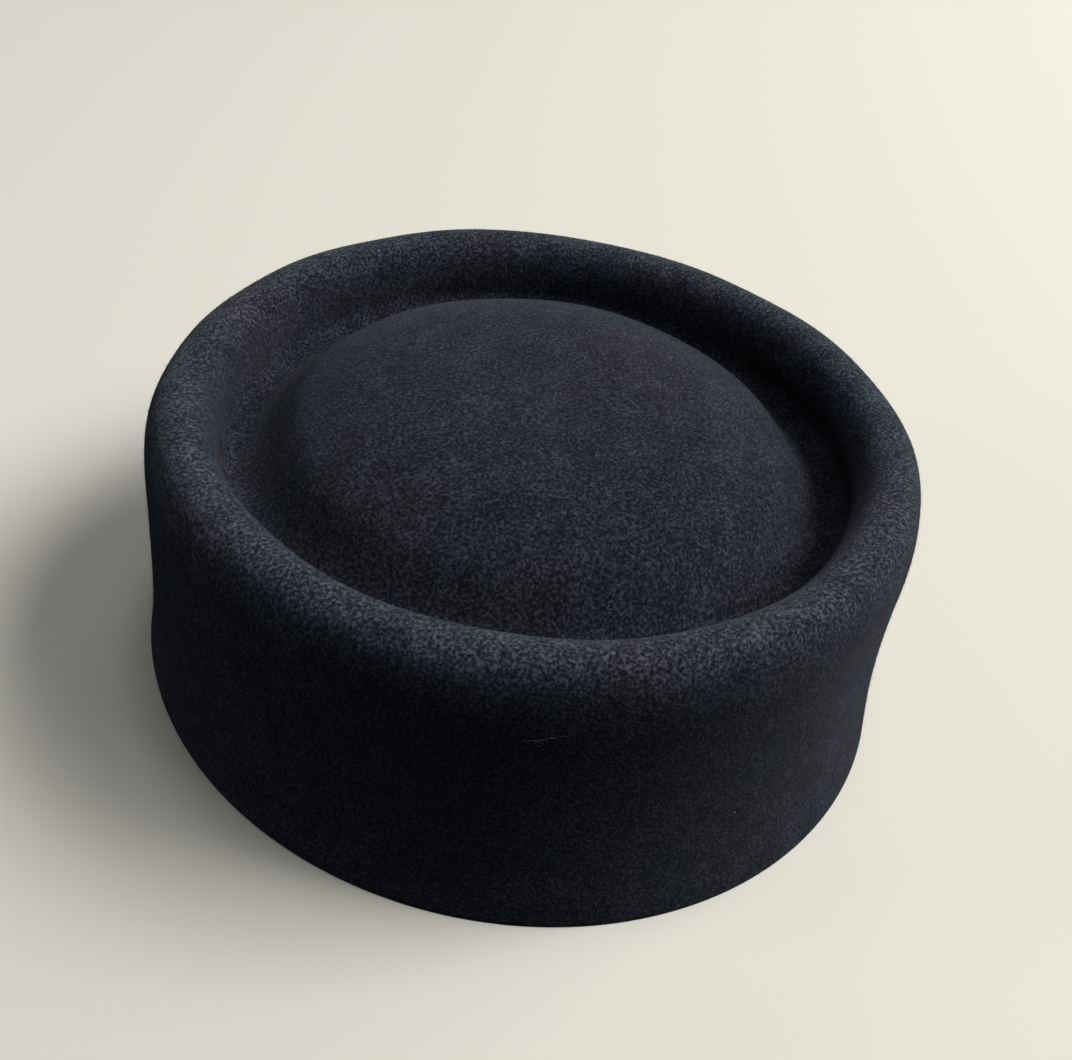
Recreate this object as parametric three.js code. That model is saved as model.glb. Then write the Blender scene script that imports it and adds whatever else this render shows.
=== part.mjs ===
// Pillbox hat, blocked in one piece from wool felt, in millimetres with +Z up.
// The hat rests on its cut edge. The origin is at the middle of the head opening, in the plane of that
// edge. X runs across the head and Y from front to back, with the front towards -Y.
import * as THREE from "three";

// Head opening, measured between the felt's inner faces at the cut edge
const OPENING_WIDTH = 185.5;
const OPENING_LENGTH = 194.5;

// Outer form. The height is that of the roll's crest.
const FELT = 2;
const HEIGHT = 72;
const RIM_DIAMETER = 184;
const RIM_FORWARD = 2;

// Rim roll: the crest is its highest line, and the widest line is where the side wall begins
const CREST_INSET = 7.6;
const ROLL_OUTER_DROP = 17.2;
const ROLL_INNER_REACH = 8.5;
const ROLL_INNER_DROP = 13;

// Moat: the groove between the roll and the tip
const MOAT_DEPTH = 18.5;
const MOAT_REACH = 4.7;

// Tip: the low dome in the middle, which stands a little above the crest and falls from its shoulder
// to the moat's floor over a flank
const FLANK_REACH = 14.7;
const TIP_RISE = 2.5;
const TIP_CROWN = 8;

// Shapes of the curves: powers, and shares of the reach that each curve spans
const FLARE_POWER = 2.1;
const DOME_POWER = 4.2;
const OUTER_ROUND = 0.7;
const INNER_ROUND = 0.68;
const FLANK_ROUND = 0.35;

const SEGMENTS = 60;

// Places that follow from the sizes above: insets run inwards from the roll's widest line
const RIM_RADIUS = RIM_DIAMETER / 2;
const WIDEST_HEIGHT = HEIGHT - ROLL_OUTER_DROP;
const MOAT_SIDE_INSET = CREST_INSET + ROLL_INNER_REACH;
const MOAT_SIDE_HEIGHT = HEIGHT - ROLL_INNER_DROP;
const MOAT_INSET = MOAT_SIDE_INSET + MOAT_REACH;
const MOAT_HEIGHT = HEIGHT - MOAT_DEPTH;
const TIP_HEIGHT = HEIGHT + TIP_RISE;
const SHOULDER_INSET = MOAT_INSET + FLANK_REACH;
const SHOULDER_RADIUS = RIM_RADIUS - SHOULDER_INSET;
const SHOULDER_HEIGHT = TIP_HEIGHT - TIP_CROWN;

// A point of the felt's outer face in a section through the middle of the hat.
// flare goes from 0 at the roll's widest line to 1 at the cut edge.
function sectionPoint(inset, height, flare = 0) {
  return { inset, height, flare };
}

// One stretch of the section as a cubic curve through four points in inset and height
function curvedStretch(...corners) {
  const curve = new THREE.CubicBezierCurve(...corners.map((corner) => new THREE.Vector2(...corner)));
  return (t) => {
    const point = curve.getPoint(t);
    return sectionPoint(point.x, point.y);
  };
}

// The side wall leaves the roll upright and flares more and more towards the cut edge
function sideWall(t) {
  return sectionPoint(0, WIDEST_HEIGHT * t, (1 - t) ** FLARE_POWER);
}

const rollOutside = curvedStretch(
  [0, WIDEST_HEIGHT],
  [0, WIDEST_HEIGHT + OUTER_ROUND * ROLL_OUTER_DROP],
  [CREST_INSET * (1 - OUTER_ROUND), HEIGHT],
  [CREST_INSET, HEIGHT],
);

const rollInside = curvedStretch(
  [CREST_INSET, HEIGHT],
  [CREST_INSET + INNER_ROUND * ROLL_INNER_REACH, HEIGHT],
  [MOAT_SIDE_INSET, MOAT_SIDE_HEIGHT + INNER_ROUND * ROLL_INNER_DROP],
  [MOAT_SIDE_INSET, MOAT_SIDE_HEIGHT],
);

// A quarter of an ellipse from the roll's inner side down to the moat's floor
function moatOutside(t) {
  const turn = (t * Math.PI) / 2;
  const inset = MOAT_INSET - MOAT_REACH * Math.cos(turn);
  const height = MOAT_SIDE_HEIGHT - (MOAT_SIDE_HEIGHT - MOAT_HEIGHT) * Math.sin(turn);
  return sectionPoint(inset, height);
}

// The tip's flank leaves the moat's floor level and reaches the shoulder on the dome's own slope
const shoulderSlope = (DOME_POWER * TIP_CROWN) / SHOULDER_RADIUS;
const tipFlank = curvedStretch(
  [MOAT_INSET, MOAT_HEIGHT],
  [MOAT_INSET + FLANK_ROUND * FLANK_REACH, MOAT_HEIGHT],
  [
    SHOULDER_INSET - FLANK_ROUND * FLANK_REACH,
    SHOULDER_HEIGHT - FLANK_ROUND * FLANK_REACH * shoulderSlope,
  ],
  [SHOULDER_INSET, SHOULDER_HEIGHT],
);

// The dome rises from its shoulder and grows ever flatter towards its middle
function tipTop(t) {
  const share = 1 - t;
  const drop = TIP_CROWN * share ** DOME_POWER;
  return sectionPoint(RIM_RADIUS - share * SHOULDER_RADIUS, TIP_HEIGHT - drop);
}

// The section's stretches from the cut edge to the middle of the tip, and the steps along each
const STRETCHES = [
  { at: sideWall, steps: 7 },
  { at: rollOutside, steps: 6 },
  { at: rollInside, steps: 5 },
  { at: moatOutside, steps: 4 },
  { at: tipFlank, steps: 6 },
  { at: tipTop, steps: 8 },
];

// The section point at a distance along the list of stretches: 0 is the cut edge
function sectionAt(along) {
  const index = Math.min(Math.floor(along), STRETCHES.length - 1);
  return STRETCHES[index].at(along - index);
}

// A point of the outer face. The plan is round at the rim and passes to the opening's oval at the
// cut edge, and each level sits a little nearer the front than the one below it.
function outerPoint(along, angle) {
  const { inset, height, flare } = sectionAt(along);
  const halfWidth = THREE.MathUtils.lerp(RIM_RADIUS - inset, OPENING_WIDTH / 2 + FELT, flare);
  const halfLength = THREE.MathUtils.lerp(RIM_RADIUS - inset, OPENING_LENGTH / 2 + FELT, flare);
  const forward = (RIM_FORWARD * height) / HEIGHT;
  return new THREE.Vector3(halfWidth * Math.cos(angle), halfLength * Math.sin(angle) - forward, height);
}

// The outward direction of the outer face, from its slopes round the hat and along the section
const SLOPE_STEP = 0.001;

function outerNormal(along, angle) {
  const round = outerPoint(along, angle + SLOPE_STEP).sub(outerPoint(along, angle - SLOPE_STEP));
  const last = STRETCHES.length;
  const ahead = outerPoint(Math.min(along + SLOPE_STEP, last), angle);
  const upwards = ahead.sub(outerPoint(Math.max(along - SLOPE_STEP, 0), angle));
  return round.cross(upwards).normalize();
}

// A point of the inner face, one felt thickness below the outer face. At the cut edge it lies level
// with the outer face, so that the edge is flat and the opening has its stated size.
function innerPoint(along, angle) {
  if (along === 0) {
    return new THREE.Vector3(
      (OPENING_WIDTH / 2) * Math.cos(angle),
      (OPENING_LENGTH / 2) * Math.sin(angle),
      0,
    );
  }
  return outerPoint(along, angle).addScaledVector(outerNormal(along, angle), -FELT);
}

// Distances along the section where the rings of points lie, without the middle of the tip
function ringStations() {
  const stations = [];
  STRETCHES.forEach(({ steps }, index) => {
    for (let step = 0; step < steps; step += 1) {
      stations.push(index + step / steps);
    }
  });
  return stations;
}

// The felt as one closed body: outer face, inner face, and the flat cut edge that joins them
function feltGeometry() {
  const stations = ringStations();
  const positions = [];
  const triangles = [];

  function addPoint(point) {
    positions.push(point.x, point.y, point.z);
    return positions.length / 3 - 1;
  }

  function addRing(place) {
    const ring = [];
    for (let segment = 0; segment < SEGMENTS; segment += 1) {
      ring.push(addPoint(place((2 * Math.PI * segment) / SEGMENTS)));
    }
    return ring;
  }

  // Faces between two rings, pointing out where the second ring is above the first on an outside
  function joinRings(lower, upper) {
    for (let segment = 0; segment < SEGMENTS; segment += 1) {
      const next = (segment + 1) % SEGMENTS;
      triangles.push(lower[segment], lower[next], upper[next]);
      triangles.push(lower[segment], upper[next], upper[segment]);
    }
  }

  const outerRings = stations.map((along) => addRing((angle) => outerPoint(along, angle)));
  const innerRings = stations.map((along) => addRing((angle) => innerPoint(along, angle)));
  for (let ring = 1; ring < stations.length; ring += 1) {
    joinRings(outerRings[ring - 1], outerRings[ring]);
    joinRings(innerRings[ring], innerRings[ring - 1]);
  }
  joinRings(innerRings[0], outerRings[0]);

  const outerMiddle = addPoint(new THREE.Vector3(0, (-RIM_FORWARD * TIP_HEIGHT) / HEIGHT, TIP_HEIGHT));
  const innerHeight = TIP_HEIGHT - FELT;
  const innerMiddle = addPoint(new THREE.Vector3(0, (-RIM_FORWARD * TIP_HEIGHT) / HEIGHT, innerHeight));
  const outerLast = outerRings.at(-1);
  const innerLast = innerRings.at(-1);
  for (let segment = 0; segment < SEGMENTS; segment += 1) {
    const next = (segment + 1) % SEGMENTS;
    triangles.push(outerLast[segment], outerLast[next], outerMiddle);
    triangles.push(innerLast[next], innerLast[segment], innerMiddle);
  }

  const geometry = new THREE.BufferGeometry();
  geometry.setAttribute("position", new THREE.Float32BufferAttribute(positions, 3));
  geometry.setIndex(triangles);
  geometry.computeVertexNormals();
  return geometry;
}

const blackFelt = new THREE.MeshStandardMaterial({
  color: new THREE.Color(0.035, 0.037, 0.045),
  roughness: 0.96,
  metalness: 0,
});

const feltBody = new THREE.Mesh(feltGeometry(), blackFelt);
feltBody.name = "felt_body";

const hat = new THREE.Group();
hat.name = "pillbox_hat";
hat.add(feltBody);

export default hat;
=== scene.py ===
"""Pillbox hat of black wool felt, dressed for its picture.

The hat is one blocked felt shell: a side wall, a rim roll, a moat inside the roll and a low domed
tip. This script builds that shell finely from the section of the solid that it stands for, lays a
short nap, a little lint and a caught hair on it, and sets the floor, the light and the camera.

Lengths are in metres. X runs across the head, the front is towards -Y, and Z goes up from the cut
edge that the hat rests on.
"""

import logging
import math
from dataclasses import dataclass, field
from enum import Enum

import bpy
import numpy as np
from mathutils import Matrix, Vector

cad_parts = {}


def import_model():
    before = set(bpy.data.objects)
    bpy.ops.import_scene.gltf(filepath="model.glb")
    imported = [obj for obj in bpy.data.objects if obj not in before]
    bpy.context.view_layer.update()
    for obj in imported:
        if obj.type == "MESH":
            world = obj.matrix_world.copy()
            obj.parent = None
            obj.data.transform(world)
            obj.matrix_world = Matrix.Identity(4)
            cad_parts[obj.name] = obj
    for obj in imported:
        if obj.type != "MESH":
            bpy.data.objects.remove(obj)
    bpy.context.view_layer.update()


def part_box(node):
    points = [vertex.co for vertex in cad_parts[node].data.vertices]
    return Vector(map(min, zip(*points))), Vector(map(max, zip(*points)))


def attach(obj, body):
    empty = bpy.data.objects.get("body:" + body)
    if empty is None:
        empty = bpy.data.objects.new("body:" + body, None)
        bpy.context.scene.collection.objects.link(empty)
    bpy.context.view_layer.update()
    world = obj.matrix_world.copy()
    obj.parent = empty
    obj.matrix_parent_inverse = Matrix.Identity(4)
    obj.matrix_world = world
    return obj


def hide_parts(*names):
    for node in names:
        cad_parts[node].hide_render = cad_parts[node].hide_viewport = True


BODY = "root"
FELT_NODE = "felt_body"
ZONE_ATTRIBUTE = "zone"
# Name of the point attribute that carries the painted highlight along the roll's crest
CREST_HIGHLIGHT_ATTRIBUTE = "crest_highlight"

# How far to either side a slope of the section is measured, in stretches and in radians
SLOPE_STEP = 1e-4

# The values of a noise that are worth spreading: beyond them it seldom goes
NOISE_RANGE = (0.3, 0.7)
TINT_RANGE = (0.35, 0.65)

log = logging.getLogger("pillbox_hat")


class Zone(Enum):
    """Parts of the felt's face that get a nap of their own."""

    EDGE = 0
    SIDE_WALL = 1
    RIM_ROLL = 2
    MOAT_AND_TIP = 3
    UNDERSIDE = 4


class Stretch(Enum):
    """Stretches of the felt's section, in order from the cut edge to the middle of the tip."""

    SIDE_WALL = 0
    ROLL_OUTSIDE = 1
    ROLL_INSIDE = 2
    MOAT_OUTSIDE = 3
    TIP_FLANK = 4
    TIP_TOP = 5


@dataclass(frozen=True)
class FeltSection:
    """The outer face's section, as insets from the roll's widest line and heights above the edge.

    The height is that of the roll's crest.
    """

    edge_half_width: float
    edge_half_length: float
    height: float
    rim_radius: float = 0.092
    felt: float = 0.002
    rim_forward: float = 0.002
    crest_inset: float = 0.0076
    roll_outer_drop: float = 0.0172
    roll_inner_reach: float = 0.0085
    roll_inner_drop: float = 0.013
    moat_depth: float = 0.0185
    moat_reach: float = 0.0047
    flank_reach: float = 0.0147
    tip_rise: float = 0.0025
    tip_crown: float = 0.008
    flare_power: float = 2.1
    dome_power: float = 4.2
    outer_round: float = 0.7
    inner_round: float = 0.68
    flank_round: float = 0.35

    @property
    def widest_height(self) -> float:
        """Height of the roll's widest line, where the side wall begins."""
        return self.height - self.roll_outer_drop

    @property
    def moat_side(self) -> tuple[float, float]:
        """Inset and height where the roll's inner side turns into the moat."""
        return self.crest_inset + self.roll_inner_reach, self.height - self.roll_inner_drop

    @property
    def moat_floor(self) -> tuple[float, float]:
        """Inset and height of the moat's lowest line."""
        return self.moat_side[0] + self.moat_reach, self.height - self.moat_depth

    @property
    def tip_height(self) -> float:
        """Height of the middle of the tip."""
        return self.height + self.tip_rise

    @property
    def shoulder(self) -> tuple[float, float]:
        """Inset and height where the tip's flank turns into the dome."""
        return self.moat_floor[0] + self.flank_reach, self.tip_height - self.tip_crown

    @property
    def shoulder_radius(self) -> float:
        """Radius of the dome."""
        return self.rim_radius - self.shoulder[0]

    def curve(self, stretch: Stretch) -> list[tuple[float, float]]:
        """Give the four control points of a stretch that is a cubic curve.

        Args:
            stretch: One of the roll's two sides or the tip's flank.

        Returns:
            Inset and height of each control point.
        """
        crest = (self.crest_inset, self.height)
        side_inset, side_height = self.moat_side
        floor_inset, floor_height = self.moat_floor
        shoulder_inset, shoulder_height = self.shoulder
        level_reach = self.flank_round * self.flank_reach
        dome_slope = self.dome_power * self.tip_crown / self.shoulder_radius
        return {
            Stretch.ROLL_OUTSIDE: [
                (0, self.widest_height),
                (0, self.widest_height + self.outer_round * self.roll_outer_drop),
                (self.crest_inset * (1 - self.outer_round), self.height),
                crest,
            ],
            Stretch.ROLL_INSIDE: [
                crest,
                (self.crest_inset + self.inner_round * self.roll_inner_reach, self.height),
                (side_inset, side_height + self.inner_round * self.roll_inner_drop),
                (side_inset, side_height),
            ],
            Stretch.TIP_FLANK: [
                (floor_inset, floor_height),
                (floor_inset + level_reach, floor_height),
                (shoulder_inset - level_reach, shoulder_height - level_reach * dome_slope),
                (shoulder_inset, shoulder_height),
            ],
        }[stretch]

    def trace(self, stretch: Stretch, t: np.ndarray) -> tuple[np.ndarray, np.ndarray, np.ndarray]:
        """Follow one stretch of the section.

        Args:
            stretch: The stretch to follow.
            t: Shares of the stretch, 0 at its start and 1 at its end.

        Returns:
            Inset, height and flare at each share. Flare is 1 at the cut edge and 0 from the roll on.
        """
        level = np.zeros_like(t)
        if stretch is Stretch.SIDE_WALL:
            return level, self.widest_height * t, (1 - t) ** self.flare_power
        if stretch is Stretch.MOAT_OUTSIDE:
            turn = t * math.pi / 2
            side_height = self.moat_side[1]
            floor_inset, floor_height = self.moat_floor
            inset = floor_inset - self.moat_reach * np.cos(turn)
            return inset, side_height - (side_height - floor_height) * np.sin(turn), level
        if stretch is Stretch.TIP_TOP:
            share = 1 - t
            inset = self.rim_radius - share * self.shoulder_radius
            return inset, self.tip_height - self.tip_crown * share**self.dome_power, level
        a, b, c, d = (np.array(point) for point in self.curve(stretch))
        s = t[..., None]
        points = (1 - s) ** 3 * a + 3 * (1 - s) ** 2 * s * b + 3 * (1 - s) * s**2 * c + s**3 * d
        return points[..., 0], points[..., 1], level

    def outer_points(self, along: np.ndarray, angle: np.ndarray) -> np.ndarray:
        """Place points on the outer face.

        Args:
            along: Distances along the section: the stretch's number plus the share of it.
            angle: Angles round the hat from +X, in radians.

        Returns:
            An array of rings of points, one ring for each distance.
        """
        index = np.clip(np.floor(along).astype(int), 0, len(Stretch) - 1)
        inset, height, flare = (np.zeros_like(along) for _ in range(3))
        for stretch in Stretch:
            here = index == stretch.value
            traced = self.trace(stretch, along[here] - stretch.value)
            inset[here], height[here], flare[here] = traced
        radius = self.rim_radius - inset
        half_width = radius + (self.edge_half_width - radius) * flare
        half_length = radius + (self.edge_half_length - radius) * flare
        forward = self.rim_forward * height / self.height
        x = half_width[:, None] * np.cos(angle)
        y = half_length[:, None] * np.sin(angle) - forward[:, None]
        z = np.broadcast_to(height[:, None], x.shape)
        return np.stack([x, y, z], axis=-1)

    def outward(self, along: np.ndarray, angle: np.ndarray) -> np.ndarray:
        """Give the outer face's outward directions at the points that outer_points places.

        Args:
            along: Distances along the section.
            angle: Angles round the hat, in radians.

        Returns:
            Unit vectors, in the same array shape as the points.
        """
        step = SLOPE_STEP
        last = len(Stretch)
        around = self.outer_points(along, angle + step) - self.outer_points(along, angle - step)
        ahead = self.outer_points(np.minimum(along + step, last - step), angle)
        behind = self.outer_points(np.maximum(along - step, 0), angle)
        normal = np.cross(around, ahead - behind)
        return normal / np.linalg.norm(normal, axis=-1, keepdims=True)


@dataclass(frozen=True)
class HandBlocking:
    """The slight unevenness that blocking by hand leaves in the felt."""

    depth: float = 0.00022
    shortest_wave: float = 0.035
    longest_wave: float = 0.09
    waves: int = 14
    calm_height: float = 0.009
    seed: int = 11

    def offsets(self, points: np.ndarray) -> np.ndarray:
        """Work out how far the felt stands off its true form.

        Args:
            points: Places on the felt.

        Returns:
            Offsets along the outward direction. They fade to nothing at the cut edge.
        """
        draw = np.random.default_rng(self.seed)
        total = np.zeros(points.shape[:-1])
        for _ in range(self.waves):
            direction = draw.normal(size=3)
            length = draw.uniform(self.shortest_wave, self.longest_wave)
            reach = direction / np.linalg.norm(direction) * 2 * math.pi / length
            total += np.sin(points @ reach + draw.uniform(0, 2 * math.pi))
        rise = np.clip(points[..., 2] / self.calm_height, 0, 1)
        return self.depth * total / math.sqrt(self.waves / 2) * rise**2 * (3 - 2 * rise)


class NodeTree:
    """A material's node tree, filled by short calls."""

    def __init__(self, tree: bpy.types.NodeTree) -> None:
        """Keep the tree that nodes are added to."""
        self.tree = tree

    def add(self, kind: str, inputs: dict | None = None, **settings: object) -> bpy.types.Node:
        """Add a node.

        Args:
            kind: The node's type name.
            inputs: Values or output sockets for its inputs, by the input's name or number.
            settings: Values for the node's own properties.

        Returns:
            The new node.
        """
        node = self.tree.nodes.new(kind)
        for name, value in settings.items():
            setattr(node, name, value)
        for name, value in (inputs or {}).items():
            if isinstance(value, bpy.types.NodeSocket):
                self.tree.links.new(value, node.inputs[name])
            else:
                node.inputs[name].default_value = value
        return node

    def noise(self, place: bpy.types.NodeSocket, grain: float, detail: float) -> bpy.types.NodeSocket:
        """Add a noise pattern.

        Args:
            place: The coordinates that it reads.
            grain: The size of its largest grains.
            detail: How many finer layers it has.

        Returns:
            Its value, about 0.5 on average.
        """
        node = self.add("ShaderNodeTexNoise", {"Vector": place, "Scale": 1 / grain, "Detail": detail})
        return node.outputs["Fac"]

    def spread(
        self, value: bpy.types.NodeSocket, low: float, high: float, start: float, end: float
    ) -> bpy.types.NodeSocket:
        """Stretch a range of a noise value to another range.

        Args:
            value: A noise value.
            low: The result at the range's start and below it.
            high: The result at the range's end and above it.
            start: Where the range starts.
            end: Where the range ends.

        Returns:
            The stretched value.
        """
        ends = {"From Min": start, "From Max": end, "To Min": low, "To Max": high}
        node = self.add("ShaderNodeMapRange", {"Value": value, **ends}, clamp=True)
        return node.outputs["Result"]

    def total(
        self, first: bpy.types.NodeSocket, second: bpy.types.NodeSocket, share: float
    ) -> bpy.types.NodeSocket:
        """Add a share of one value to another.

        Args:
            first: The value that counts in full.
            second: The value that a share is taken of.
            share: The share.

        Returns:
            The sum.
        """
        inputs = {0: second, 1: share, 2: first}
        return self.add("ShaderNodeMath", inputs, operation="MULTIPLY_ADD").outputs[0]

    def blend(self, share: bpy.types.NodeSocket, low: object, high: object) -> bpy.types.NodeSocket:
        """Mix two colours.

        Args:
            share: How much of the second colour shows.
            low: The first colour, or a socket that gives it.
            high: The second colour, or a socket that gives it.

        Returns:
            The mixed colour.
        """
        colours = [c if isinstance(c, bpy.types.NodeSocket) else (*c, 1) for c in (low, high)]
        inputs = {0: share, 6: colours[0], 7: colours[1]}
        return self.add("ShaderNodeMix", inputs, data_type="RGBA").outputs[2]

    def multiply(self, first: bpy.types.NodeSocket, second: bpy.types.NodeSocket) -> bpy.types.NodeSocket:
        """Multiply two colours."""
        inputs = {0: 1.0, 6: first, 7: second}
        return self.add("ShaderNodeMix", inputs, data_type="RGBA", blend_type="MULTIPLY").outputs[2]


@dataclass(frozen=True)
class WoolFelt:
    """Black wool felt: matte, blue-charcoal, with a fine grain of lighter and darker fibres, and a painted
    highlight along the roll's crest.
    """

    name: str = "black_wool_felt"
    deep: tuple[float, float, float] = (0.0026, 0.0036, 0.0060)
    raised: tuple[float, float, float] = (0.0530, 0.0595, 0.0735)
    cool: tuple[float, float, float] = (0.88, 1.00, 1.10)
    warm: tuple[float, float, float] = (1.06, 0.97, 1.02)
    grain: float = 0.00075
    fibre: float = 0.00035
    fibre_share: float = 0.45
    tuft: float = 0.007
    tuft_share: float = 0.25
    speckle_range: tuple[float, float] = (0.60, 1.10)
    contrast: float = 2.0
    drift: float = 0.03
    relief: float = 0.00016
    relief_fibre_share: float = 0.4
    roughness: tuple[float, float] = (0.86, 1.0)
    sheen: float = 0.08
    sheen_roughness: float = 0.6
    sheen_tint: tuple[float, float, float] = (0.60, 0.64, 0.74)
    specular: float = 0.1
    # Colour gain of the painted highlight on the roll's crest, which stands in for the sheen that the
    # crest catches
    painted_highlight: tuple[float, float, float] = (1.95, 1.90, 1.78)

    def material(self) -> bpy.types.Material:
        """Build the felt's material on object coordinates.

        Returns:
            The material.
        """
        made = bpy.data.materials.new(self.name)
        made.use_nodes = True
        tree = NodeTree(made.node_tree)
        shader = made.node_tree.nodes["Principled BSDF"]
        place = tree.add("ShaderNodeTexCoord").outputs["Object"]
        grain = tree.noise(place, self.grain, 1)
        fibre = tree.noise(place, self.fibre, 1)
        tuft = tree.noise(place, self.tuft, 2)
        drift = tree.noise(place, self.drift, 1)
        fine = tree.total(grain, fibre, self.fibre_share)
        both = tree.total(fine, tuft, self.tuft_share)
        grey = tree.spread(both, 0, 1, *self.speckle_range)
        bright = tree.add("ShaderNodeMath", {0: grey, 1: self.contrast}, operation="POWER").outputs[0]
        speckle = tree.blend(bright, self.deep, self.raised)
        tint = tree.blend(tree.spread(drift, 0, 1, *TINT_RANGE), self.cool, self.warm)
        # Painted highlight: the colour is lifted towards the roll's crest, standing in for its sheen
        crest_highlight = tree.add("ShaderNodeAttribute", attribute_name=CREST_HIGHLIGHT_ATTRIBUTE).outputs["Fac"]
        highlight_gain = tree.blend(crest_highlight, (1, 1, 1), self.painted_highlight)
        colour = tree.multiply(tree.multiply(speckle, tint), highlight_gain)
        height = tree.total(grain, fibre, self.relief_fibre_share)
        relief = {"Height": height, "Distance": self.relief, "Strength": 1.0}
        bump = tree.add("ShaderNodeBump", relief)
        roughness = tree.spread(fibre, *self.roughness, *NOISE_RANGE)
        made.node_tree.links.new(colour, shader.inputs["Base Color"])
        made.node_tree.links.new(roughness, shader.inputs["Roughness"])
        made.node_tree.links.new(bump.outputs["Normal"], shader.inputs["Normal"])
        shader.inputs["Specular IOR Level"].default_value = self.specular
        shader.inputs["Sheen Weight"].default_value = self.sheen
        shader.inputs["Sheen Roughness"].default_value = self.sheen_roughness
        shader.inputs["Sheen Tint"].default_value = (*self.sheen_tint, 1)
        return made


@dataclass
class FeltShell:
    """The hat's felt body, from the cut edge over the roll and the moat to the tip, and back inside."""

    section: FeltSection
    finish: WoolFelt
    blocking: HandBlocking = field(default_factory=HandBlocking)
    segments: int = 360
    edge_round: float = 0.0003
    edge_steps: int = 3
    steps: tuple[int, ...] = (44, 22, 18, 12, 22, 38)
    inner_every: int = 2
    # How far the painted highlight on the crest reaches along the section, before and after the crest
    highlight_reach: tuple[float, float] = (0.9, 0.7)

    def stations(self) -> np.ndarray:
        """Give the distances along the section where rings lie, without the middle of the tip."""
        first = self.edge_round / self.section.widest_height
        parts = [i + np.arange(count) / count for i, count in enumerate(self.steps)]
        parts[0] = first + (1 - first) * np.arange(self.steps[0]) / self.steps[0]
        return np.concatenate(parts)

    def face(self, along: np.ndarray, angle: np.ndarray) -> tuple[np.ndarray, np.ndarray]:
        """Place points on the blocked outer face.

        Args:
            along: Distances along the section.
            angle: Angles round the hat, in radians.

        Returns:
            The points and the outward directions there, one ring for each distance.
        """
        points = self.section.outer_points(along, angle)
        outward = self.section.outward(along, angle)
        return points + self.blocking.offsets(points)[..., None] * outward, outward

    def rings(self) -> tuple[list[np.ndarray], list[Zone]]:
        """Lay out every ring of points, down the inside, round the cut edge and up the outside.

        Returns:
            The rings in order, and the zone of the faces between each ring and the next.
        """
        angle = np.arange(self.segments) * 2 * math.pi / self.segments
        along = self.stations()
        outer, outward = self.face(along, angle)
        inner = outer - self.section.felt * outward
        inner[0, :, 2] = self.edge_round
        across = inner[0] - outer[0]
        across /= np.linalg.norm(across, axis=-1, keepdims=True)
        rings = list(inner[:: self.inner_every][::-1])
        zones = [Zone.UNDERSIDE] * (len(rings) - 1)
        turns = np.arange(1, self.edge_steps + 1) / self.edge_steps * math.pi / 2
        for corner, side, sweep in ((inner[0], -across, turns), (outer[0], across, turns[::-1])):
            for turn in sweep:
                ring = corner + side * self.edge_round * (1 - math.cos(turn))
                ring[:, 2] = self.edge_round * (1 - math.sin(turn))
                rings.append(ring)
                zones.append(Zone.EDGE)
        rings.extend(outer)
        zones.append(Zone.EDGE)
        zones.extend(self.outer_zone(distance) for distance in along[:-1])
        return rings, zones

    def crest_highlight(self, along: np.ndarray) -> np.ndarray:
        """Say how strong the painted highlight is that lifts the colour: most on the roll's crest, where
        it stands in for the sheen caught there.

        Args:
            along: Distances along the section.

        Returns:
            Shares from 0 to 1.
        """
        crest = Stretch.ROLL_INSIDE.value
        reach = np.where(along < crest, self.highlight_reach[0], self.highlight_reach[1])
        share = np.clip(1 - np.abs(along - crest) / reach, 0, 1)
        return share**2 * (3 - 2 * share)

    def outer_zone(self, distance: float) -> Zone:
        """Give the zone of the outer face at a distance along the section.

        Args:
            distance: The stretch's number plus the share of it.

        Returns:
            The zone.
        """
        if distance < Stretch.ROLL_OUTSIDE.value:
            return Zone.SIDE_WALL
        if distance < Stretch.MOAT_OUTSIDE.value:
            return Zone.RIM_ROLL
        return Zone.MOAT_AND_TIP

    def faces(self, rings: int) -> list[list[int]]:
        """Join each ring to the next, and close the first and last rings at the middle.

        Args:
            rings: How many rings there are. The two middle points come after their points.

        Returns:
            The point numbers of each face: the rings' faces in order, then the lower middle's and
            the upper middle's.
        """
        count = self.segments
        here = np.arange(count)
        after = (here + 1) % count
        low, high = rings * count, rings * count + 1
        top = (rings - 1) * count
        faces = []
        for a in range(0, top, count):
            b = a + count
            faces += np.stack([a + here, a + after, b + after, b + here], axis=1).tolist()
        faces += np.stack([after, here, np.full(count, low)], axis=1).tolist()
        faces += np.stack([top + here, top + after, np.full(count, high)], axis=1).tolist()
        return faces

    def build(self) -> bpy.types.Object:
        """Build the shell as one closed mesh and dress it.

        Returns:
            The piece.
        """
        rings, zones = self.rings()
        count = self.segments
        points = np.vstack([*rings, rings[0].mean(axis=0), rings[-1].mean(axis=0)])
        marks = np.repeat([zone.value for zone in zones], count).tolist()
        marks += [Zone.UNDERSIDE.value] * count + [Zone.MOAT_AND_TIP.value] * count
        mesh = bpy.data.meshes.new("felt_shell")
        mesh.from_pydata(points.tolist(), [], self.faces(len(rings)))
        mesh.attributes.new(ZONE_ATTRIBUTE, "INT", "FACE").data.foreach_set("value", marks)
        # The painted highlight's strength at each outer point; the inside, the cut edge and the two
        # middles get none
        crest_highlight = np.zeros(len(points))
        outer = (len(rings) - len(self.stations())) * count
        crest_highlight[outer:-2] = np.repeat(self.crest_highlight(self.stations()), count)
        mesh.attributes.new(CREST_HIGHLIGHT_ATTRIBUTE, "FLOAT", "POINT").data.foreach_set("value", crest_highlight)
        mesh.shade_smooth()
        mesh.materials.append(self.finish.material())
        mesh.update()
        return link(bpy.data.objects.new("felt_shell", mesh))


def link(piece: bpy.types.Object) -> bpy.types.Object:
    """Put an object in the scene and give it back."""
    bpy.context.scene.collection.objects.link(piece)
    return piece


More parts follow.
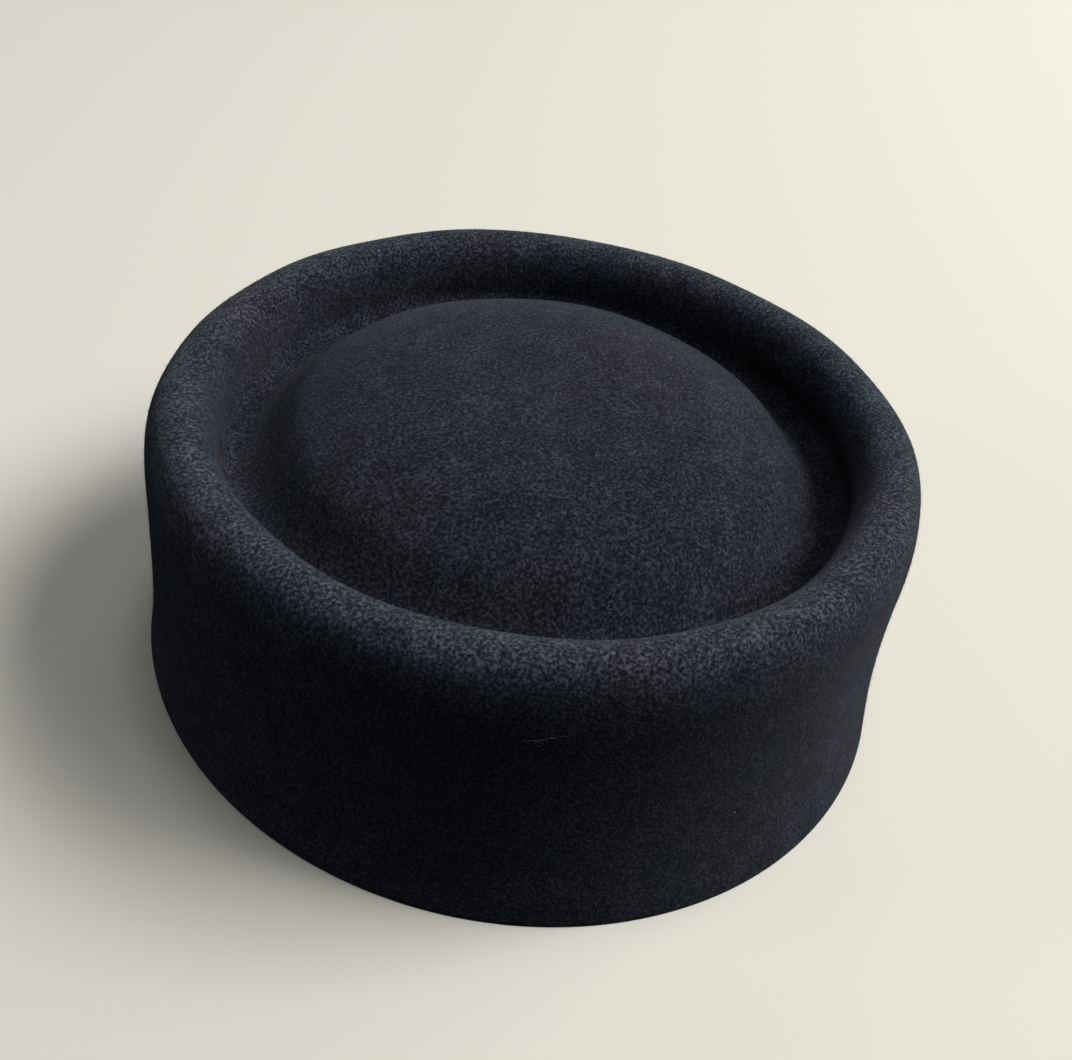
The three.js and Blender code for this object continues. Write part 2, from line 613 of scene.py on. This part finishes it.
@dataclass(frozen=True)
class FibreFinish:
    """The finish of loose fibres: one colour, dull, with a little sheen."""

    name: str
    colour: tuple[float, float, float]
    dark: tuple[float, float, float]
    patch: float = 0.0012
    sheen: float = 0.1
    roughness: float = 0.9
    specular: float = 0.15

    def material(self) -> bpy.types.Material:
        """Build the fibres' material, whose colour changes from fibre to fibre with their place.

        Returns:
            The material.
        """
        made = bpy.data.materials.new(self.name)
        made.use_nodes = True
        tree = NodeTree(made.node_tree)
        shader = made.node_tree.nodes["Principled BSDF"]
        place = tree.add("ShaderNodeTexCoord").outputs["Object"]
        share = tree.spread(tree.noise(place, self.patch, 0), 0, 1, *NOISE_RANGE)
        colour = tree.blend(share, self.dark, self.colour)
        made.node_tree.links.new(colour, shader.inputs["Base Color"])
        shader.inputs["Roughness"].default_value = self.roughness
        shader.inputs["Specular IOR Level"].default_value = self.specular
        shader.inputs["Sheen Weight"].default_value = self.sheen
        return made


class FibreTree:
    """The Geometry Nodes tree that strews bent, tapered fibres over one zone of the felt."""

    INPUTS = (
        ("Zone", "NodeSocketInt"),
        ("Density", "NodeSocketFloat"),
        ("Seed", "NodeSocketInt"),
        ("Length", "NodeSocketFloat"),
        ("Thickness", "NodeSocketFloat"),
        ("Bend", "NodeSocketFloat"),
        ("Least Lean", "NodeSocketFloat"),
        ("Most Lean", "NodeSocketFloat"),
        ("Sink", "NodeSocketFloat"),
        ("Lowest", "NodeSocketFloat"),
        ("Material", "NodeSocketMaterial"),
    )
    SIZES = (0.55, 1.35)

    def __init__(self) -> None:
        """Build the tree with its named inputs."""
        self.group = bpy.data.node_groups.new("strewn_fibres", "GeometryNodeTree")
        sockets = self.group.interface
        sockets.new_socket("Geometry", in_out="INPUT", socket_type="NodeSocketGeometry")
        for name, kind in self.INPUTS:
            sockets.new_socket(name, in_out="INPUT", socket_type=kind)
        sockets.new_socket("Geometry", in_out="OUTPUT", socket_type="NodeSocketGeometry")
        self.nodes = NodeTree(self.group)
        self.given = self.nodes.add("NodeGroupInput").outputs
        self.build()

    def math(self, operation: str, *values: object) -> bpy.types.NodeSocket:
        """Add a Math node and give its result.

        Args:
            operation: The node's operation.
            values: Numbers or sockets, in the order of its inputs.

        Returns:
            Its output.
        """
        inputs = dict(enumerate(values))
        return self.nodes.add("ShaderNodeMath", inputs, operation=operation).outputs[0]

    def scatter(self) -> tuple[bpy.types.NodeSocket, bpy.types.NodeSocket]:
        """Strew points over the chosen zone, clear of the surface that the hat rests on.

        Returns:
            The points, and the felt's outward direction at each.
        """
        zone = self.nodes.add("GeometryNodeInputNamedAttribute", {"Name": ZONE_ATTRIBUTE}, data_type="INT")
        wanted = {2: zone.outputs["Attribute"], 3: self.given["Zone"]}
        inside = self.nodes.add("FunctionNodeCompare", wanted, data_type="INT", operation="EQUAL")
        place = self.nodes.add("GeometryNodeInputPosition").outputs[0]
        height = self.nodes.add("ShaderNodeSeparateXYZ", {0: place}).outputs["Z"]
        clear = self.math("GREATER_THAN", height, self.given["Lowest"])
        both = self.nodes.add(
            "FunctionNodeBooleanMath", {0: inside.outputs[0], 1: clear}, operation="AND"
        )
        points = self.nodes.add(
            "GeometryNodeDistributePointsOnFaces",
            {
                "Mesh": self.given["Geometry"],
                "Selection": both.outputs[0],
                "Density": self.given["Density"],
                "Seed": self.given["Seed"],
            },
            distribute_method="RANDOM",
        )
        return points.outputs["Points"], points.outputs["Normal"]

    def fibre(self) -> bpy.types.NodeSocket:
        """Make one fibre: a thin three-sided cone that bends towards its end.

        Returns:
            The fibre's mesh, rooted a little below its own origin.
        """
        cone = self.nodes.add(
            "GeometryNodeMeshCone",
            {
                "Vertices": 3,
                "Side Segments": 2,
                "Fill Segments": 1,
                "Radius Top": 0.0,
                "Radius Bottom": self.given["Thickness"],
                "Depth": self.given["Length"],
            },
            fill_type="NGON",
        )
        place = self.nodes.add("GeometryNodeInputPosition").outputs[0]
        height = self.nodes.add("ShaderNodeSeparateXYZ", {0: place}).outputs["Z"]
        share = self.math("DIVIDE", height, self.given["Length"])
        squared = self.math("MULTIPLY", share, share)
        sideways = self.math("MULTIPLY", squared, self.given["Bend"])
        down = self.math("MULTIPLY", self.given["Sink"], -1.0)
        offset = self.nodes.add("ShaderNodeCombineXYZ", {"X": sideways, "Z": down}).outputs[0]
        bent = self.nodes.add(
            "GeometryNodeSetPosition", {"Geometry": cone.outputs["Mesh"], "Offset": offset}
        )
        return bent.outputs["Geometry"]

    def random(self, low: object, high: object, salt: int) -> bpy.types.NodeSocket:
        """Add a random number for each point, from the tree's seed.

        Args:
            low: The least value.
            high: The greatest value.
            salt: A number that sets this draw apart from the others.

        Returns:
            The random value.
        """
        seed = self.math("ADD", self.given["Seed"], float(salt))
        inputs = {2: low, 3: high, "Seed": seed}
        return self.nodes.add("FunctionNodeRandomValue", inputs, data_type="FLOAT").outputs[1]

    def build(self) -> None:
        """Join the parts of the tree: points, leaning fibres on them, made real and dressed."""
        points, outward = self.scatter()
        upright = self.nodes.add("FunctionNodeAlignRotationToVector", {"Vector": outward}, axis="Z")
        spin = self.random(-math.pi, math.pi, 1)
        lean = self.random(self.given["Least Lean"], self.given["Most Lean"], 2)
        roll = self.random(-math.pi, math.pi, 3)
        size = self.random(*self.SIZES, 4)
        leaning = self.turned(upright.outputs[0], self.vector(0.0, lean, spin))
        rotation = self.turned(leaning, self.vector(0.0, 0.0, roll))
        placed = self.nodes.add(
            "GeometryNodeInstanceOnPoints",
            {
                "Points": points,
                "Instance": self.fibre(),
                "Rotation": rotation,
                "Scale": self.vector(size, size, size),
            },
        )
        real = self.nodes.add("GeometryNodeRealizeInstances", {0: placed.outputs[0]})
        dressed = self.nodes.add(
            "GeometryNodeSetMaterial",
            {"Geometry": real.outputs[0], "Material": self.given["Material"]},
        )
        self.nodes.add("NodeGroupOutput", {0: dressed.outputs[0]})

    def turned(self, rotation: bpy.types.NodeSocket, angles: bpy.types.NodeSocket) -> bpy.types.NodeSocket:
        """Turn a rotation further, about its own axes.

        Args:
            rotation: The rotation so far.
            angles: The Euler angles to turn it by.

        Returns:
            The new rotation.
        """
        turn = self.nodes.add("FunctionNodeEulerToRotation", {0: angles}).outputs[0]
        inputs = {0: rotation, 1: turn}
        node = self.nodes.add("FunctionNodeRotateRotation", inputs, rotation_space="LOCAL")
        return node.outputs[0]

    def vector(self, x: object, y: object, z: object) -> bpy.types.NodeSocket:
        """Join three numbers or sockets into a vector."""
        return self.nodes.add("ShaderNodeCombineXYZ", {0: x, 1: y, 2: z}).outputs[0]

    def strew(self, name: str, shell: bpy.types.Object, values: dict[str, object]) -> bpy.types.Object:
        """Strew fibres over the shell and keep them as a plain mesh.

        Args:
            name: The new piece's name.
            shell: The felt shell.
            values: A value for each of the tree's inputs, by name.

        Returns:
            The piece.
        """
        source = link(bpy.data.objects.new(name + "_source", shell.data.copy()))
        modifier = source.modifiers.new("fibres", "NODES")
        modifier.node_group = self.group
        for item in self.group.interface.items_tree:
            if item.name in values:
                modifier[item.identifier] = values[item.name]
        evaluated = source.evaluated_get(bpy.context.evaluated_depsgraph_get())
        mesh = bpy.data.meshes.new_from_object(evaluated)
        mesh.name = name
        source.modifiers.clear()
        bpy.data.objects.remove(source)
        return link(bpy.data.objects.new(name, mesh))


@dataclass(frozen=True)
class StrewnFibres:
    """Short fibres on the felt, in one piece for each zone. The sizes given here are the nap's."""

    finish: FibreFinish
    prefix: str = "nap"
    zones: tuple[Zone, ...] = (Zone.SIDE_WALL, Zone.RIM_ROLL, Zone.MOAT_AND_TIP, Zone.UNDERSIDE)
    length: float = 0.0009
    thickness: float = 0.000022
    bend: float = 0.0004
    least_lean: float = math.radians(35)
    most_lean: float = math.radians(86)
    sink: float = 0.00008
    lowest: float = 0.0026
    fibres: int = 18500
    seed: int = 5

    def build(self, tree: FibreTree, shell: bpy.types.Object) -> list[bpy.types.Object]:
        """Strew the fibres over the zones.

        Args:
            tree: The tree that strews fibres.
            shell: The felt shell.

        Returns:
            The pieces.
        """
        areas = zone_areas(shell.data)
        material = self.finish.material()
        pieces = []
        for zone in self.zones:
            values = {
                "Zone": zone.value,
                "Density": self.fibres / areas[zone],
                "Seed": self.seed + zone.value,
                "Length": self.length,
                "Thickness": self.thickness,
                "Bend": self.bend,
                "Least Lean": self.least_lean,
                "Most Lean": self.most_lean,
                "Sink": self.sink,
                "Lowest": self.lowest,
                "Material": material,
            }
            pieces.append(tree.strew(f"{self.prefix}_{zone.name.lower()}", shell, values))
        return pieces


@dataclass(frozen=True)
class Curl:
    """One loose curl of a hair: where it starts on the outer face, and how it runs on from there.

    The angle is in degrees from +X. Turns counts the curl's loops, and start says how far round its
    first loop the curl begins.
    """

    along: float
    angle: float
    run: float
    rise: float
    width: float
    turns: float
    start: float


@dataclass(frozen=True)
class CaughtHair:
    """Fine pale hairs that have caught on the felt and lie on it in loose curls."""

    finish: FibreFinish
    curls: tuple[Curl, ...] = (
        Curl(along=0.99, angle=233.6, run=0.0040, rise=0.0006, width=0.0014, turns=1.15, start=0.6),
        Curl(along=1.00, angle=234.6, run=0.0064, rise=0.0020, width=0.0006, turns=3.2, start=0.2),
        Curl(along=1.08, angle=238.6, run=0.0012, rise=0.0028, width=0.0002, turns=1.0, start=0.4),
    )
    radius: float = 0.00003
    squash: float = 0.6
    clearance: float = 1.5
    reach: tuple[float, float] = (0.3, 0.6)
    table_points: int = 400
    points: int = 48
    sides: int = 5

    def path(self, shell: FeltShell, curl: Curl) -> tuple[np.ndarray, np.ndarray]:
        """Lay one curl on the outer face.

        Args:
            shell: The shell that it lies on.
            curl: The curl.

        Returns:
            Points along its middle, and the felt's outward direction at each.
        """
        share = np.linspace(0, 1, self.points)
        turn = 2 * math.pi * (curl.turns * share + curl.start)
        round_the_hat = curl.run * share + curl.width * np.sin(turn)
        up_the_hat = curl.rise * share + curl.width * np.cos(turn) * self.squash
        angle = math.radians(curl.angle) + round_the_hat / shell.section.rim_radius
        before, after = self.reach
        table = np.linspace(max(curl.along - before, 0), curl.along + after, self.table_points)
        line = shell.section.outer_points(table, np.array([angle[0]]))[:, 0]
        walked = np.concatenate([[0], np.cumsum(np.linalg.norm(np.diff(line, axis=0), axis=1))])
        start = np.interp(curl.along, table, walked)
        along = np.interp(start + up_the_hat, walked, table)
        laid = [shell.face(along[i : i + 1], angle[i : i + 1]) for i in range(self.points)]
        middle = np.array([points[0, 0] for points, _ in laid])
        outward = np.array([direction[0, 0] for _, direction in laid])
        return middle + outward * self.radius * self.clearance, outward

    def build(self, shell: FeltShell) -> bpy.types.Object:
        """Make every curl a thin closed tube with pointed ends.

        Args:
            shell: The shell that they lie on.

        Returns:
            The piece.
        """
        points, faces = [], []
        around = np.arange(self.sides) * 2 * math.pi / self.sides
        thickness = self.radius * np.sqrt(np.sin(np.linspace(0, math.pi, self.points)))[:, None]
        for curl in self.curls:
            middle, outward = self.path(shell, curl)
            ahead = np.gradient(middle, axis=0)
            ahead /= np.linalg.norm(ahead, axis=1, keepdims=True)
            across = np.cross(ahead, outward)
            across /= np.linalg.norm(across, axis=1, keepdims=True)
            upright = np.cross(ahead, across)
            first = len(points) + 1
            points.append(middle[0])
            for i in range(1, self.points - 1):
                ring = np.cos(around)[:, None] * across[i] + np.sin(around)[:, None] * upright[i]
                points.extend(middle[i] + ring * thickness[i])
            points.append(middle[-1])
            last = len(points) - 1
            for side in range(self.sides):
                after = (side + 1) % self.sides
                faces.append((first - 1, first + after, first + side))
                faces.append((last, last - self.sides + side, last - self.sides + after))
                for ring in range(self.points - 3):
                    a, b = first + ring * self.sides, first + (ring + 1) * self.sides
                    faces.append((a + side, a + after, b + after, b + side))
        mesh = bpy.data.meshes.new("caught_hair")
        mesh.from_pydata([tuple(point) for point in points], [], faces)
        mesh.shade_smooth()
        mesh.materials.append(self.finish.material())
        mesh.update()
        return link(bpy.data.objects.new("caught_hair", mesh))


def zone_areas(mesh: bpy.types.Mesh) -> dict[Zone, float]:
    """Add up the felt's area in each zone.

    Args:
        mesh: The shell's mesh, with its zone attribute.

    Returns:
        The area of each zone, in square metres.
    """
    area = np.zeros(len(mesh.polygons))
    mesh.polygons.foreach_get("area", area)
    marks = np.zeros(len(mesh.polygons), dtype=int)
    mesh.attributes[ZONE_ATTRIBUTE].data.foreach_get("value", marks)
    return {zone: float(area[marks == zone.value].sum()) for zone in Zone}


@dataclass(frozen=True)
class SoftLight:
    """A square soft light that faces the hat, with the direction that it comes from.

    Azimuth is in degrees from +X, elevation in degrees from the level, and power in watts.
    """

    name: str
    azimuth: float
    elevation: float
    power: float
    size: float = 1.0
    distance: float = 3.0
    target: tuple[float, float, float] = (0, 0, 0.04)

    def build(self) -> None:
        """Hang the light."""
        lamp = bpy.data.lights.new(self.name, "AREA")
        lamp.shape = "SQUARE"
        lamp.size = self.size
        lamp.energy = self.power
        turn, highlight_gain = math.radians(self.azimuth), math.radians(self.elevation)
        away = Vector((math.cos(turn) * math.cos(highlight_gain), math.sin(turn) * math.cos(highlight_gain), math.sin(highlight_gain)))
        place = Matrix.Translation(Vector(self.target) + away * self.distance)
        hung = link(bpy.data.objects.new(self.name, lamp))
        hung.matrix_world = place @ away.to_track_quat("Z", "Y").to_matrix().to_4x4()


@dataclass(frozen=True)
class Studio:
    """The pale floor and the soft lights round the hat."""

    lights: tuple[SoftLight, ...] = (
        SoftLight("key", -30, 50, 75, size=1.5),
        SoftLight("top", 0, 88, 14.5),
        SoftLight("front", -60, 50, 9),
        SoftLight("low_right", 0, 11, 30),
        SoftLight("low_back", 45, 11, 10),
        SoftLight("low_left", 150, 11, 11.5),
    )
    floor_size: float = 6.0
    floor_colour: tuple[float, float, float] = (0.83, 0.80, 0.705)
    floor_roughness: float = 0.9
    world_colour: tuple[float, float, float] = (0.45, 0.70, 1.0)
    world_strength: float = 0.02

    def floor(self) -> bpy.types.Object:
        """Lay the floor under the cut edge. It throws no light back up at the black felt.

        Returns:
            The floor.
        """
        half = self.floor_size / 2
        corners = [(-half, -half, 0), (half, -half, 0), (half, half, 0), (-half, half, 0)]
        mesh = bpy.data.meshes.new("floor")
        mesh.from_pydata(corners, [], [(0, 1, 2, 3)])
        made = bpy.data.materials.new("pale_floor")
        made.use_nodes = True
        shader = made.node_tree.nodes["Principled BSDF"]
        shader.inputs["Base Color"].default_value = (*self.floor_colour, 1)
        shader.inputs["Roughness"].default_value = self.floor_roughness
        shader.inputs["Specular IOR Level"].default_value = 0.0
        mesh.materials.append(made)
        floor = link(bpy.data.objects.new("floor", mesh))
        floor.visible_diffuse = False
        floor.visible_glossy = False
        return floor

    def build(self) -> bpy.types.Object:
        """Light the studio and lay its floor.

        Returns:
            The floor.
        """
        world = bpy.data.worlds.new("studio")
        world.use_nodes = True
        background = world.node_tree.nodes["Background"]
        background.inputs["Color"].default_value = (*self.world_colour, 1)
        background.inputs["Strength"].default_value = self.world_strength
        scene = bpy.context.scene
        scene.world = world
        scene.view_settings.view_transform = "Standard"
        for light in self.lights:
            light.build()
        return self.floor()


@dataclass(frozen=True)
class PhotoCamera:
    """The camera, at the angle and with the perspective that the hat is seen with.

    The sensor's width and the lens are in millimetres.
    """

    azimuth: float = math.radians(-39.854)
    elevation: float = math.radians(39.231)
    roll: float = math.radians(7.824)
    distance: float = 0.3128
    aim: tuple[float, float, float] = (0.00018, -0.00518, 0.03307)
    sensor: float = 36.0
    lens: float = 41.01
    clip: tuple[float, float] = (0.01, 50)

    def build(self) -> bpy.types.Object:
        """Set the camera up and make it the scene's own.

        Returns:
            The camera.
        """
        data = bpy.data.cameras.new("camera")
        data.sensor_width = self.sensor
        data.lens = self.lens
        data.clip_start, data.clip_end = self.clip
        camera = link(bpy.data.objects.new("camera", data))
        level = math.cos(self.elevation)
        back = Vector(
            (
                math.sin(self.azimuth) * level,
                -math.cos(self.azimuth) * level,
                math.sin(self.elevation),
            )
        )
        right = Vector((math.cos(self.azimuth), math.sin(self.azimuth), 0))
        up = back.cross(right)
        turned = Matrix((right, up, back)).transposed() @ Matrix.Rotation(self.roll, 3, "Z")
        place = Vector(self.aim) + back * self.distance
        camera.matrix_world = Matrix.Translation(place) @ turned.to_4x4()
        bpy.context.scene.camera = camera
        return camera


NAP_FINISH = FibreFinish("nap_fibres", colour=(0.046, 0.052, 0.066), dark=(0.008, 0.010, 0.014))
LINT_FINISH = FibreFinish("pale_lint", colour=(0.50, 0.50, 0.52), dark=(0.22, 0.22, 0.23))
HAIR_FINISH = FibreFinish("pale_hair", colour=(0.30, 0.30, 0.31), dark=(0.14, 0.14, 0.15))


def felt_section() -> FeltSection:
    """Read the felt's outer sizes from the frame."""
    low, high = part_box(FELT_NODE)
    crest_height = high.z - FeltSection.tip_rise
    return FeltSection((high.x - low.x) / 2, (high.y - low.y) / 2, crest_height)


def report(piece: bpy.types.Object) -> None:
    """Log a piece's name and its number of faces."""
    log.info("%s: %d faces", piece.name, len(piece.data.polygons))


def main() -> None:
    """Build the hat round the frame, dress it, and set up its picture."""
    logging.basicConfig(level=logging.INFO, format="%(name)s %(message)s")
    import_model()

    felt = FeltShell(felt_section(), WoolFelt())
    shell = felt.build()
    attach(shell, BODY)
    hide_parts(FELT_NODE)
    report(shell)

    tree = FibreTree()
    nap = StrewnFibres(NAP_FINISH)
    lint = StrewnFibres(
        LINT_FINISH,
        prefix="lint",
        zones=(Zone.SIDE_WALL, Zone.RIM_ROLL, Zone.MOAT_AND_TIP),
        length=0.00045,
        thickness=0.00006,
        bend=0.0001,
        sink=0.00002,
        fibres=16,
        seed=40,
    )
    pieces = nap.build(tree, shell) + lint.build(tree, shell)
    pieces.append(CaughtHair(HAIR_FINISH).build(felt))
    for piece in pieces:
        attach(piece, BODY)
        report(piece)

    floor = Studio().build()
    PhotoCamera().build()


if __name__ == "__main__":
    main()
